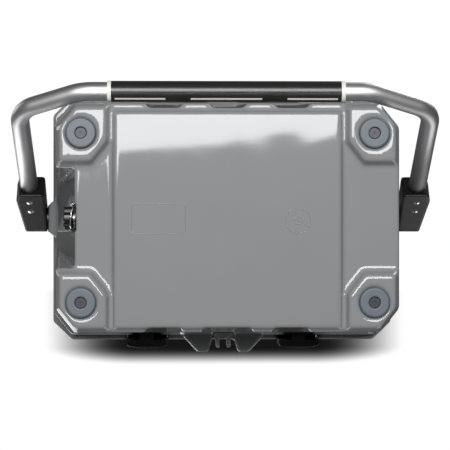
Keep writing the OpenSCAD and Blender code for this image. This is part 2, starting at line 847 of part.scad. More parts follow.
// Side outline of a latch, from its pivot barrel down to its foot
module latch_profile() {
    polygon([
        [latch_front, latch_pivot_z - 3], [latch_front + 3, latch_pivot_z],
        [latch_pivot_y, latch_pivot_z], [latch_pivot_y, latch_pivot_z - barrel_r],
        [latch_back, latch_pivot_z - barrel_r], [latch_back, latch_low + 2],
        [latch_back - 2, latch_low], [latch_front + 4, latch_low], [latch_front, latch_low + 4]
    ]);
    translate([latch_pivot_y, latch_pivot_z]) circle(barrel_r);
}

module latch(s) color([0.09, 0.09, 0.1])
    translate([s * latch_x, 0, 0])
        difference() {
            union() {
                intersection() {
                    translate([-latch_w / 2, 0, 0])
                        rotate([90, 0, 90]) linear_extrude(latch_w) latch_profile();
                    translate([0, latch_front + crown_r, latch_low - over])
                        cylinder(r = crown_r, h = latch_len + barrel_r + 2 * over, $fn = 180);
                }
                translate([-hook_w / 2, latch_back - over, hook_top - hook_t])
                    cube([hook_w, hook_end - latch_back + over, hook_t]);
                translate([-hook_w / 2, latch_back - over, hook_top - hook_t])
                    cube([hook_w, 3 + over, hook_t + 12]);
            }
            translate([-button_w / 2, latch_front - over, button_z])
                cube([button_w, button_cavity + over, button_h]);
            translate([-latch_w, latch_pivot_y, latch_pivot_z])
                rotate([0, 90, 0]) cylinder(d = latch_pin_dia + 2 * fit, h = 2 * latch_w);
        }

module latch_button(s) color([0.2, 0.2, 0.21])
    translate([s * latch_x, latch_front + button_sink, button_z + button_h / 2])
        rotate([-90, 0, 0])
            difference() {
                linear_extrude(button_t)
                    round_rect(button_w - 1, button_h - 1, 2.5);
                for (i = [-1:1])
                    translate([-button_w / 2 + 5, i * 3.4 - 0.6, -over])
                        cube([button_w - 10, 1.2, 0.8 + over]);
            }

// Coil spring along Y, swept as a ring of points that follows a helix
function coil_point(t, r, pitch) = [r * cos(t), pitch * t / 360, r * sin(t)];

module coil(r, wire, turns, len) {
    sides = 6;
    steps = turns * 12;
    pitch = (len - wire) / turns;
    points = [
        for (i = [0:steps], j = [0:sides - 1])
            let (t = i * 360 * turns / steps, a = j * 360 / sides,
                 c = coil_point(t, r, pitch), out = [cos(t), 0, sin(t)])
            c + wire / 2 * (cos(a) * out + sin(a) * [0, 1, 0])
    ];
    walls = [
        for (i = [0:steps - 1], j = [0:sides - 1])
            let (a = i * sides + j, b = i * sides + (j + 1) % sides)
            [a, b, b + sides, a + sides]
    ];
    translate([0, wire / 2, 0])
        polyhedron(points, concat(
            walls,
            [[for (j = [sides - 1:-1:0]) j]],
            [[for (j = [0:sides - 1]) steps * sides + j]]
        ));
}

module latch_spring(s) color("silver")
    translate([s * latch_x, latch_front + button_sink + button_t + 0.1, button_z + button_h / 2])
        coil(spring_r, spring_wire, spring_turns, button_cavity - button_sink - button_t - 0.2);

module latch_pin(s) color("silver")
    translate([s * latch_x - latch_pin_len / 2 + 0.5, latch_pivot_y, latch_pivot_z])
        rotate([0, 90, 0]) cylinder(d = latch_pin_dia, h = latch_pin_len - 1);

module latch_keeper(s) color("silver")
    translate([s * latch_x - keeper_len / 2 + 0.5, keeper_y, keeper_z])
        rotate([0, 90, 0]) cylinder(d = keeper_dia - 2 * fit, h = keeper_len - 1);

// ---------------------------------------------------------------- lock hasp

module lock_plate() color([0.75, 0.75, 0.76]) difference() {
    union() {
        translate([-hasp_w / 2, hasp_back - hasp_web, hasp_low])
            cube([hasp_w, hasp_web, lid_z - hasp_low + hasp_t]);
        translate([-hasp_w / 2, hasp_back - hasp_web, lid_z])
            cube([hasp_w, hasp_plate_back - hasp_back + hasp_web, hasp_t]);
        for (s = [0, 1])
            mirror([s, 0, 0])
                translate([cheek_in, hasp_front, hasp_low])
                    cube([cheek_out - cheek_in, hasp_back - hasp_front, lid_z - hasp_low + hasp_t]);
    }
    translate([-hasp_w / 2 + 5, hasp_back - hasp_web / 2 - 0.6, hasp_low - over])
        cube([hasp_w - 10, 1.2, 12 + over]);
    translate([-hasp_w, padlock_y, padlock_z])
        rotate([0, 90, 0]) cylinder(d = padlock_dia, h = 2 * hasp_w);
    for (s = [-1, 1])
        translate([s * hasp_screw_x, hasp_screw_y, lid_z - over])
            cylinder(d = hasp_screw_dia, h = hasp_t + 2 * over);
}

module lock_plate_screws() color("silver")
    for (s = [-1, 1])
        translate([s * hasp_screw_x, hasp_screw_y, lid_z - 1.5]) {
            cylinder(d = hasp_screw_dia - 2 * fit, h = 15);
            cylinder(d = 2 * hasp_screw_dia, h = 1.5);
        }

// ---------------------------------------------------------------- bail handle

// The route of the handle tube in its own plane: across, and down from the pivots
bail_route = [
    [arm_x, -arm_end], [bail_w / 2, -corner_u], [grip_span / 2, -bail_len],
    [-grip_span / 2, -bail_len], [-bail_w / 2, -corner_u], [-arm_x, -arm_end]
];
tube_sides = 28;
bend_step = 7.5;
bail_bends = [0, corner_bend, shoulder_bend, shoulder_bend, corner_bend, 0];

// Points of one corner of the route, along its bend
function bend_points(p, q, r, radius) =
    let (d0 = unit(q - p), d1 = unit(r - q), angle = turn(d0, d1), side = sign(angle),
         start = q - d0 * radius * tan(abs(angle) / 2),
         centre = start + side * radius * [-d0[1], d0[0]],
         steps = ceil(abs(angle) / bend_step))
    [for (i = [0:steps])
        let (a = heading(start - centre) + angle * i / steps)
        centre + radius * [cos(a), sin(a)]];

function bail_points(past = 0) =
    let (last = len(bail_route) - 1)
    concat(
        [bail_route[0] - past * unit(bail_route[1] - bail_route[0])],
        [for (i = [1:last - 1])
            each bend_points(bail_route[i - 1], bail_route[i], bail_route[i + 1], bail_bends[i])],
        [bail_route[last] + past * unit(bail_route[last] - bail_route[last - 1])]
    );

module bail_bar(d, past = 0)
    bar([for (p = bail_points(past)) [p[0], 0, p[1]]], d, tube_sides, [0, 1, 0]);

// Things drawn hanging straight down from the pivots, swung to their rest
module hung() translate([0, 0, pivot_z]) rotate([bail_lean, 0, 0]) children();

module rivet_bores(d, half)
    for (s = [-1, 1], u = rivet_u)
        translate([s * (arm_x + (u - arm_end) * tan(arm_splay)), half, -u])
            rotate([90, 0, 0]) cylinder(d = d, h = 2 * half);

module bail_tube() color([0.78, 0.79, 0.8]) hung() difference() {
    bail_bar(tube_dia);
    bail_bar(tube_dia - 2 * tube_wall, over);
    rivet_bores(rivet_dia + 2 * fit, tube_r + over);
}

module grip_sleeve(outer, x0, x1, r_in = tube_r + fit)
    translate([x0, 0, -bail_len]) rotate([0, 90, 0])
        difference() {
            cylinder(r = outer, h = x1 - x0);
            translate([0, 0, -over]) cylinder(r = r_in, h = x1 - x0 + 2 * over);
        }

module inlay_cut(g)
    for (span = [[-grip_len / 2 + inlay_end, -inlay_mid - inlay_gap], [-inlay_mid, inlay_mid],
                 [inlay_mid + inlay_gap, grip_len / 2 - inlay_end]])
        translate([span[0] - g, 0, -bail_len]) rotate([inlay_place, 0, 0])
            translate([0, -inlay_w / 2 - g, grip_dia / 2 - inlay_t - g])
                cube([span[1] - span[0] + 2 * g, inlay_w + 2 * g, inlay_t + 3]);

module bail_grip() color([0.1, 0.1, 0.1]) hung() difference() {
    grip_sleeve(grip_dia / 2, -grip_len / 2, grip_len / 2);
    inlay_cut(fit);
}

module grip_inlays() color([0.9, 0.9, 0.87]) hung() intersection() {
    grip_sleeve(grip_dia / 2 - 0.05, -grip_len / 2, grip_len / 2, $fn = 360);
    inlay_cut(0);
}

module grip_collar(s) color([0.88, 0.88, 0.85]) hung()
    grip_sleeve(collar_dia / 2, s > 0 ? grip_len / 2 + fit : -grip_len / 2 - collar_t,
                s > 0 ? grip_len / 2 + collar_t : -grip_len / 2 - fit);

module bail_bracket(s) color([0.07, 0.07, 0.07])
    mirror([s > 0 ? 0 : 1, 0, 0]) hung() difference() {
        intersection() {
            rotate([90, 0, 0]) translate([0, 0, -bracket_half])
                linear_extrude(2 * bracket_half)
                    polygon([
                        [bracket_in, -bracket_len + 2], [bracket_in, bracket_end_r],
                        [bracket_low_out - 5, bracket_end_r], [bracket_low_out, bracket_end_r - 5],
                        [bracket_high_out, -bracket_len + 14], [bracket_high_out - 4, -bracket_len],
                        [bracket_in + 3, -bracket_len]
                    ]);
            translate([bracket_in - over, 0, 0]) rotate([90, 0, 90])
                linear_extrude(80) union() {
                    circle(bracket_end_r);
                    translate([-bracket_half, -bracket_len - over])
                        square([2 * bracket_half, bracket_len + over]);
                }
        }
        rotate([90, 0, 0]) translate([arm_x, -arm_end, 0])
            rotate([0, 0, -90 + arm_splay]) translate([-0.3, 0, 0])
                rotate([0, 90, 0]) cylinder(r = tube_r + fit, h = 80);
        translate([bracket_in - over, 0, 0])
            rotate([0, 90, 0]) cylinder(d = bolt_dia + 2 * fit, h = 60);
        translate([bracket_low_out - bolt_recess, 0, 0])
            rotate([0, 90, 0]) cylinder(d = bolt_head_dia + 2, h = 40);
        rivet_bores(rivet_dia + 2 * fit, 2 * bracket_half);
    }

module bracket_rivets(s) color("silver")
    mirror([s > 0 ? 0 : 1, 0, 0]) hung()
        for (u = rivet_u)
            translate([arm_x + (u - arm_end) * tan(arm_splay), 0, -u]) rotate([90, 0, 0]) {
                translate([0, 0, -bracket_half - 0.5])
                    cylinder(d = rivet_dia, h = 2 * bracket_half + 1);
                for (t = [0, 1]) mirror([0, 0, t])
                    translate([0, 0, bracket_half]) rotate_extrude() intersection() {
                        translate([0, rivet_head_h - rivet_dome_r]) circle(rivet_dome_r);
                        square([rivet_head_dia / 2, rivet_head_h]);
                    }
            }

// ---------------------------------------------------------------- pivots

module pivot_hub(s) color([0.12, 0.12, 0.12])
    mirror([s > 0 ? 0 : 1, 0, 0])
        translate([boss_face, 0, pivot_z]) rotate([0, 90, 0])
            difference() {
                union() {
                    cylinder(d = hub_dia, h = hub_t - 1);
                    cylinder(d = hub_dia - 8, h = hub_t);
                }
                translate([0, 0, -over]) cylinder(d = bolt_dia + 2 * fit, h = hub_t + 2 * over);
            }

module pivot_bolt(s) color("silver")
    mirror([s > 0 ? 0 : 1, 0, 0])
        translate([0, 0, pivot_z]) rotate([0, 90, 0])
            difference() {
                union() {
                    translate([0, 0, bolt_start])
                        cylinder(d = bolt_dia, h = bolt_seat - bolt_start);
                    translate([0, 0, bolt_seat]) cylinder(d = bolt_head_dia, h = bolt_head_h);
                }
                translate([0, 0, bolt_seat + bolt_head_h - bolt_socket_depth])
                    cylinder(d = bolt_socket, h = bolt_socket_depth + over, $fn = 6);
            }

module pivot_insert(s) color([0.7, 0.6, 0.35])
    mirror([s > 0 ? 0 : 1, 0, 0])
        translate([boss_face - insert_len, 0, pivot_z]) rotate([0, 90, 0])
            difference() {
                cylinder(d = insert_dia - 2 * fit, h = insert_len - fit);
                translate([0, 0, -over]) cylinder(d = bolt_dia + 2 * fit, h = insert_len + 2 * over);
            }

// ---------------------------------------------------------------- drain

module along_drain(x) translate([x, 0, drain_z]) rotate([0, 90, 0]) children();

module drain_bushing() color([0.16, 0.16, 0.17]) difference() {
    union() {
        along_drain(notch_floor + gasket_t) cylinder(d = knob_dia, h = bushing_flange_t);
        along_drain(nut_face - nut_t - 1)
            cylinder(d = drain_tube_dia, h = bushing_face - nut_face + nut_t + 1);
    }
    along_drain(0) cylinder(d = drain_inner_dia, h = base_w);
}

module drain_gasket() color([0.3, 0.3, 0.32]) difference() {
    along_drain(notch_floor) cylinder(d = knob_dia - 2, h = gasket_t);
    along_drain(0) cylinder(d = drain_tube_dia + 2 * fit, h = base_w);
}

module drain_nut() color([0.85, 0.85, 0.85]) difference() {
    along_drain(nut_face - nut_t) cylinder(d = nut_dia, h = nut_t);
    along_drain(0) cylinder(d = drain_tube_dia + 2 * fit, h = base_w);
}

module drain_plug() color([0.07, 0.07, 0.07]) difference() {
    union() {
        along_drain(knob_back) cylinder(d = knob_dia, h = knob_t);
        along_drain(bushing_face - over)
            cylinder(d = plug_neck_dia, h = knob_back - bushing_face + 2 * over);
        along_drain(nut_face - nut_t)
            cylinder(d = plug_shank_dia, h = bushing_face - nut_face + nut_t);
    }
    for (i = [0:knob_lobes - 1])
        along_drain(knob_back - over)
            rotate([0, 0, (i + 0.5) * 360 / knob_lobes])
                translate([knob_dia / 2 + 3, 0, 0])
                    cylinder(d = knob_hollow_dia, h = knob_t + 2 * over);
    along_drain(seal_x) difference() {
        cylinder(d = plug_shank_dia + 4, h = seal_dia);
        translate([0, 0, -over]) cylinder(d = plug_shank_dia - 3, h = seal_dia + 2 * over);
    }
}

module drain_plug_seal() color([0.15, 0.15, 0.15])
    along_drain(seal_x + 0.3) difference() {
        cylinder(d = plug_shank_dia, h = seal_dia - 0.6);
        translate([0, 0, -over]) cylinder(d = plug_shank_dia - 3 + 2 * fit, h = seal_dia + 2 * over);
    }

module drain_tether() color([0.8, 0.8, 0.78]) {
    bar([for (p = tether_points) tether_start + p], tether_dia, 8, [1, 0, 0.2]);
    along_drain(bushing_face + 0.4) difference() {
        cylinder(d = ring_hole_dia + 5, h = ring_t);
        translate([0, 0, -over]) cylinder(d = ring_hole_dia, h = ring_t + 2 * over);
    }
}

module tether_anchor() color("silver")
    translate(tether_start) rotate([-90, 0, 0]) {
        cylinder(d = anchor_dia, h = 1.1);
        cylinder(d = anchor_shank_dia, h = 1.2 + anchor_shank);
    }

// ---------------------------------------------------------------- drawing

placed() tub_shell();
placed() tub_foam();
placed() tub_liner();
placed() lid_shell();
placed() lid_foam();
placed() lid_liner();
placed() lid_gasket();
placed() hinge_rod();
placed() hinge_end_caps();
placed() foot(1, -1);  // foot_front_right
placed() foot(-1, -1);  // foot_front_left
placed() foot(1, 1);  // foot_rear_right
placed() foot(-1, 1);  // foot_rear_left
placed() foot_screws();
placed() latch(1);  // latch_right
placed() latch(-1);  // latch_left
placed() latch_button(1);  // latch_button_right
placed() latch_button(-1);  // latch_button_left
placed() latch_spring(1);  // latch_spring_right
placed() latch_spring(-1);  // latch_spring_left
placed() latch_pin(1);  // latch_pin_right
placed() latch_pin(-1);  // latch_pin_left
placed() latch_keeper(1);  // latch_keeper_right
placed() latch_keeper(-1);  // latch_keeper_left
placed() lock_plate();
placed() lock_plate_screws();
placed() bail_tube();
placed() bail_grip();
placed() grip_collar(1);  // grip_collar_right
placed() grip_collar(-1);  // grip_collar_left
placed() grip_inlays();
placed() bail_bracket(1);  // bail_bracket_right
placed() bail_bracket(-1);  // bail_bracket_left
placed() bracket_rivets(1);  // bracket_rivets_right
placed() bracket_rivets(-1);  // bracket_rivets_left
placed() pivot_hub(1);  // pivot_hub_right
placed() pivot_hub(-1);  // pivot_hub_left
placed() pivot_bolt(1);  // pivot_bolt_right
placed() pivot_bolt(-1);  // pivot_bolt_left
placed() pivot_insert(1);  // pivot_insert_right
placed() pivot_insert(-1);  // pivot_insert_left
placed() drain_bushing();
placed() drain_gasket();
placed() drain_nut();
placed() drain_plug();
placed() drain_plug_seal();
placed() drain_tether();
placed() tether_anchor();
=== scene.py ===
# %% [markdown]
# # A hard cooler, seen from below
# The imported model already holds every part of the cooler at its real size. This lesson puts a
# finish on each part and rebuilds the moulded ones with the soft edges that a mould gives.
# It works in metres: +Z is up, -Y is the front with the latches, +X is the side with the drain.

# %% Load the frame
import math

import bmesh
import bpy
import numpy as np
from mathutils import Matrix, Vector
from mathutils.bvhtree import BVHTree
from mathutils.kdtree import KDTree


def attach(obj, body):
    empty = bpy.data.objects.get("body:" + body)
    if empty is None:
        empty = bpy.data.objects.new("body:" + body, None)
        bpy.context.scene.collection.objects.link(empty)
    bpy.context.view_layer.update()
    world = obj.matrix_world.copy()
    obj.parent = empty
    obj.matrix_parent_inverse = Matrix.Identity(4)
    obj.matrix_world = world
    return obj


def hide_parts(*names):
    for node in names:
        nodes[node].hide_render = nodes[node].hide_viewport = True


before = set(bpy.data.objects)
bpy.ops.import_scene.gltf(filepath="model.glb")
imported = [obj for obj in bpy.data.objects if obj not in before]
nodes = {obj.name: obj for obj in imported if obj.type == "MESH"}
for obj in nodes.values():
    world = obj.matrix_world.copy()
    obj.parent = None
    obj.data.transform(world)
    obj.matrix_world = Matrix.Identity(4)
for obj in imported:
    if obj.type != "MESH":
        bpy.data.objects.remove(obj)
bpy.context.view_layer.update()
print("CAD nodes:", len(nodes))

# %% [markdown]
# ## The camera
# The cooler is looked at from straight below, from a little to its right, with a long lens.
# A long lens far away keeps the outline of a big box nearly square on. Image-up is +Y.

# %% Camera
SENSOR_MM = 36.0
CAMERA_DISTANCE = 2.4
PICTURE_WIDTH = 0.585
CAMERA_SIDE = 0.061
AIM = Vector((0.0039, -0.0051, 0.0))


def look(place, target, up):
    """A matrix for something at place that looks along its own -Z at target."""
    back = (place - target).normalized()
    right = up.cross(back).normalized()
    turn = Matrix((right, back.cross(right), back)).transposed().to_4x4()
    return Matrix.Translation(place) @ turn


lens = bpy.data.cameras.new("camera")
lens.sensor_width = SENSOR_MM
lens.lens = SENSOR_MM * CAMERA_DISTANCE / PICTURE_WIDTH
lens.clip_end = 20.0
camera = bpy.data.objects.new("camera", lens)
bpy.context.collection.objects.link(camera)
camera.matrix_world = look(Vector((CAMERA_SIDE, AIM.y, -CAMERA_DISTANCE)), AIM, Vector((0, 1, 0)))
bpy.context.scene.camera = camera
print("lens", round(lens.lens, 1), "mm")

# %% [markdown]
# ## Light
# A glossy moulding is mostly seen by what it mirrors, so the light matters as much as the
# finish. One big soft box faces the base from below and towards the back: its mirror image is
# the bright sheet across the back half of the base. The other lamps light the sides and the
# handle.

# %% Lamps
SOFTBOX_RADIANCE = 13.0
SOFTBOX_ROLL = math.radians(7)
FRONT_RADIANCE = 1.9
HEART = (0, 0, 0.2)


def area_light(name, place, target, size, radiance, roll=0.0):
    """A rectangular lamp whose face has the given radiance, whatever its size."""
    data = bpy.data.lights.new(name, "AREA")
    data.shape = "RECTANGLE"
    data.size, data.size_y = size
    data.energy = radiance * math.pi * size[0] * size[1]
    lamp = bpy.data.objects.new(name, data)
    bpy.context.collection.objects.link(lamp)
    up = Vector((math.sin(roll), math.cos(roll), 0.001))
    lamp.matrix_world = look(Vector(place), Vector(target), up)
    return lamp


area_light("softbox", (0.1, 0.80, -2.40), (0.1, 0.80, 0.0), (1.9, 1.22), SOFTBOX_RADIANCE,
           SOFTBOX_ROLL)
for name, side in (("front_right", 1), ("front_left", -1)):
    area_light(name, (side * 1.45, -2.30, 0.60), (side * 0.28, 0.1, 0.2), (1.7, 1.6),
               FRONT_RADIANCE)
area_light("from_above", (1.5, -1.7, 2.2), HEART, (1.8, 1.8), 3.2)
area_light("from_behind", (-1.4, 1.9, 1.6), HEART, (1.3, 1.3), 6.0)
area_light("from_the_side", (2.2, 0.9, 1.5), HEART, (1.1, 1.1), 2.2)
print("lamps:", len(bpy.data.lights))

# %% [markdown]
# ## Graphs as Python expressions
# A finish is a small graph of nodes, and so is the world. Wiring each node by hand hides the
# idea, so one class wraps a socket and lets Python's own operators add the Math nodes, and one
# method adds any other node with its settings first and its inputs after.


# %% A socket that does arithmetic
class Value:
    """One output of a node in a graph. Arithmetic on it adds Math nodes."""

    def __init__(self, graph, socket):
        self.graph = graph
        self.socket = socket

    def math(self, operation, first, second):
        terms = {0: first, 1: second}
        return self.graph.add("ShaderNodeMath", {"operation": operation}, terms)

    def __add__(self, other):
        return self.math("ADD", self, other)

    def __radd__(self, other):
        return self.math("ADD", other, self)

    def __sub__(self, other):
        return self.math("SUBTRACT", self, other)

    def __rsub__(self, other):
        return self.math("SUBTRACT", other, self)

    def __mul__(self, other):
        return self.math("MULTIPLY", self, other)

    def __rmul__(self, other):
        return self.math("MULTIPLY", other, self)


# %% A graph of nodes
class Graph:
    """The nodes of a world or a material, which starts empty."""

    def __init__(self, owner):
        owner.use_nodes = True
        self.tree = owner.node_tree
        self.tree.nodes.clear()

    def add(self, kind, settings, inputs, output=0):
        """Adds a node: its settings, then its inputs' values or links; gives one output."""
        node = self.tree.nodes.new(kind)
        for key, value in settings.items():
            setattr(node, key, value)
        for key, value in inputs.items():
            if isinstance(value, Value):
                self.tree.links.new(value.socket, node.inputs[key])
            else:
                node.inputs[key].default_value = value
        return Value(self, node.outputs[output]) if len(node.outputs) else None


def colour(red, green, blue):
    return (red, green, blue, 1.0)


# %% [markdown]
# ## The world
# The camera sees a white backdrop, while everything else gets only a little of its light.

# %% World
BACKDROP = 1.02
AMBIENT = 0.05
WHITE = colour(1, 1, 1)

world = bpy.data.worlds.new("studio")
bpy.context.scene.world = world
bpy.context.scene.view_settings.view_transform = "Standard"
sky = Graph(world)
seen_directly = sky.add("ShaderNodeLightPath", {}, {}, "Is Camera Ray")
backdrop = sky.add("ShaderNodeBackground", {}, {"Color": WHITE, "Strength": BACKDROP})
ambient = sky.add("ShaderNodeBackground", {}, {"Color": WHITE, "Strength": AMBIENT})
either = sky.add("ShaderNodeMixShader", {}, {0: seen_directly, 1: ambient, 2: backdrop})
sky.add("ShaderNodeOutputWorld", {}, {"Surface": either})
print("world:", len(sky.tree.nodes), "nodes")

# %% [markdown]
# ## A finish
# A finish adds the words a surface needs: noise of a real size, a fade, a mix of two colours
# and a bump of a real depth. It ends in one Principled shader.


# %% Finish
class Finish(Graph):
    """A material with its own graph, placed by the object's own coordinates."""

    def __init__(self, name):
        self.material = bpy.data.materials.new(name)
        super().__init__(self.material)
        self.place = self.add("ShaderNodeTexCoord", {}, {}, "Object")

    def noise(self, size, detail=2.0, stretch=(1, 1, 1)):
        """Noise whose blobs are size metres across, drawn out along an axis by stretch."""
        place = self.add("ShaderNodeMapping", {}, {"Vector": self.place, "Scale": stretch})
        return self.add("ShaderNodeTexNoise", {},
                        {"Vector": place, "Scale": 1.0 / size, "Detail": detail})

    def between(self, low, high, value):
        """Fades value from 0 at low to 1 at high."""
        return self.add("ShaderNodeMapRange", {"interpolation_type": "SMOOTHSTEP"},
                        {"Value": value, "From Min": low, "From Max": high})

    def mix(self, amount, first, second):
        """A colour that goes from first to second."""
        return self.add("ShaderNodeMix", {"data_type": "RGBA"},
                        {0: amount, 6: first, 7: second}, 2)

    def bump(self, height, depth, strength=1.0, under=None):
        """A normal from a height of depth metres, laid over another bump."""
        inputs = {"Height": height, "Distance": depth, "Strength": strength}
        if under is not None:
            inputs["Normal"] = under
        return self.add("ShaderNodeBump", {}, inputs)

    def finished(self, **sockets):
        """Ends the graph in a Principled shader, whose sockets are named with underscores."""
        named = {key.replace("_", " "): value for key, value in sockets.items()}
        shader = self.add("ShaderNodeBsdfPrincipled", {}, named)
        self.add("ShaderNodeOutputMaterial", {}, {"Surface": shader})
        print("finish:", self.material.name, len(self.tree.nodes), "nodes")
        return self.material


# %% [markdown]
# ## Moulded skin
# Rotary-moulded polyethylene is glossy but never flat. It shrinks as it cools, which leaves
# shallow waves a hand wide, and its skin has a faint orange peel. The waves are what make the
# edge of the mirrored soft box wander.


# %% Moulded skins
WAVE_SIZE = 0.13
PEEL_SIZE = 0.0035
PEEL_DEPTH = 0.00002
CLOUD_SIZE = 0.07
SCUFF_SIZE = 0.012


def moulded_skin(name, tint, gloss, wave_depth):
    """A glossy plastic with broad waves, orange peel, faint clouds and scuffs along Y."""
    finish = Finish(name)
    waves = finish.noise(WAVE_SIZE, 1.6)
    peel = finish.noise(PEEL_SIZE, 2.0)
    cloud = finish.noise(CLOUD_SIZE, 3.0)
    scuff = finish.between(0.60, 0.78, finish.noise(SCUFF_SIZE, 6.0, (1, 0.25, 1)))
    dark = colour(*(0.94 * part for part in tint))
    base = finish.mix(cloud, dark, colour(*tint))
    normal = finish.bump(waves, wave_depth)
    normal = finish.bump(peel, PEEL_DEPTH, 0.35, normal)
    return finish.finished(Base_Color=base, Roughness=gloss + 0.02 * cloud + 0.04 * scuff,
                           Normal=normal, Specular_IOR_Level=0.5)


grey_skin = moulded_skin("moulded_grey_skin", (0.232, 0.238, 0.243), 0.035, 0.0008)
white_skin = moulded_skin("liner_skin", (0.78, 0.79, 0.79), 0.26, 0.0005)

# %% [markdown]
# ## Rubber and nylon
# Soft and filled plastics scatter light: high roughness, with a grain finer than a millimetre.


# %% Grained plastics and rubber
BLOTCH_SIZE = 0.02


def grained(name, tint, roughness, grain_size, grain_depth, spread=0.12):
    """A satin or matt plastic with fine grain and slightly uneven colour."""
    finish = Finish(name)
    grain = finish.noise(grain_size, 3.0)
    cloud = finish.noise(BLOTCH_SIZE, 3.0)
    dark = colour(*(part * (1 - spread) for part in tint))
    light = colour(*(part * (1 + spread) for part in tint))
    return finish.finished(
        Base_Color=finish.mix(cloud, dark, light),
        Roughness=roughness - 0.06 + 0.12 * cloud,
        Normal=finish.bump(grain, grain_depth, 0.6))


foot_rubber = grained("foot_rubber", (0.088, 0.107, 0.127), 0.46, 0.0006, 0.00006)
seal_rubber = grained("seal_rubber", (0.020, 0.020, 0.022), 0.62, 0.0007, 0.00008)
nylon = grained("black_nylon", (0.0065, 0.0065, 0.007), 0.33, 0.0007, 0.00005)
grey_nylon = grained("dark_grey_nylon", (0.035, 0.036, 0.038), 0.36, 0.0007, 0.00005)
grip_plastic = grained("grip_plastic", (0.016, 0.0155, 0.015), 0.30, 0.0009, 0.00005)
pale_trim = grained("pale_trim", (0.72, 0.72, 0.67), 0.42, 0.0007, 0.00004, 0.04)

# %% [markdown]
# ## Metals
# Drawn tube and stamped steel carry fine lines along the way they were worked. Stretched noise
# drives the roughness and a very shallow bump, so highlights smear across the lines.


# %% Brushed metals
DRAWN_OUT = 0.02
STAIN_SIZE = 0.03
SCRATCH_DEPTH = 0.00001


def brushed(name, tint, roughness, along, line_size=0.0005, spread=0.16):
    """A metal with fine lines along one axis: 0, 1 or 2 for X, Y or Z."""
    finish = Finish(name)
    stretch = [1.0, 1.0, 1.0]
    stretch[along] = DRAWN_OUT
    lines = finish.noise(line_size, 2.0, tuple(stretch))
    stain = finish.noise(STAIN_SIZE, 4.0)
    dull = colour(*(0.86 * part for part in tint))
    return finish.finished(
        Base_Color=finish.mix(stain, dull, colour(*tint)), Metallic=1.0,
        Roughness=roughness - spread / 2 + spread * lines,
        Normal=finish.bump(lines, SCRATCH_DEPTH, 0.5))


satin_tube = brushed("satin_aluminium", (0.66, 0.66, 0.67), 0.47, 0, spread=0.08)
bright_steel = brushed("bright_steel", (0.78, 0.78, 0.77), 0.22, 2)
black_steel = brushed("blackened_steel", (0.05, 0.05, 0.055), 0.42, 2)
wire_steel = brushed("pale_wire", (0.80, 0.79, 0.74), 0.35, 2)
brass = brushed("brass_insert", (0.72, 0.52, 0.22), 0.30, 0)

# %% [markdown]
# ## Edges that a mould leaves
# CAD faces meet in knife edges, but nothing moulded has them, and a highlight runs along every
# rounded edge. A bevel needs clean topology, which a part with bores and ribs doesn't have. So
# the part is remeshed on an even grid, each point is put back on the true surface, and only the
# points near a sharp edge are relaxed. Flat faces stay exactly flat and edges become round.
# A big part is thinned out last, and the thinning takes its points from the flat faces first.

# %% Points and sharp edges
SHARP = math.radians(28)
EDGE_STEP = 0.0010
WELD = 2e-6


def welded(names):
    """One bmesh of the named nodes, with the split points of the file joined again."""
    mesh = bmesh.new()
    for name in names:
        mesh.from_mesh(nodes[name].data)
    bmesh.ops.remove_doubles(mesh, verts=mesh.verts, dist=WELD)
    return mesh


def edge_samples(mesh):
    """Points about a millimetre apart along every sharp edge."""
    points = []
    for edge in mesh.edges:
        if len(edge.link_faces) == 2 and edge.calc_face_angle(0) > SHARP:
            first, last = edge.verts[0].co, edge.verts[1].co
            steps = max(1, int((last - first).length / EDGE_STEP))
            points += [first.lerp(last, i / steps) for i in range(steps + 1)]
    return points


# %% Modifiers and relaxing
def modified(data, kind, **settings):
    """A new mesh with one modifier applied. The mesh it came from is removed."""
    holder = bpy.data.objects.new("holder", data)
    bpy.context.collection.objects.link(holder)
    modifier = holder.modifiers.new(kind, kind)
    for key, value in settings.items():
        setattr(modifier, key, value)
    graph = bpy.context.evaluated_depsgraph_get()
    result = bpy.data.meshes.new_from_object(holder.evaluated_get(graph), depsgraph=graph)
    bpy.data.objects.remove(holder)
    bpy.data.meshes.remove(data)
    return result


def relax(points, pairs, weight, rounds):
    """Moves each point towards the middle of its neighbours, as far as its weight says."""
    count = len(points)
    both = np.concatenate([pairs, pairs[:, ::-1]])
    degree = np.maximum(np.bincount(both[:, 0], minlength=count), 1)[:, None]
    for _ in range(rounds):
        total = np.stack([np.bincount(both[:, 0], points[both[:, 1], axis], count)
                          for axis in range(3)], axis=1)
        points = points + 0.5 * weight[:, None] * (total / degree - points)
    return points


def shown(name, data, material):
    """An object made of one mesh in one material."""
    data.materials.clear()
    data.materials.append(material)
    piece = bpy.data.objects.new(name, data)
    bpy.context.collection.objects.link(piece)
    return piece


# %% Soften the edges of CAD nodes
MOST_TRIANGLES = 190000


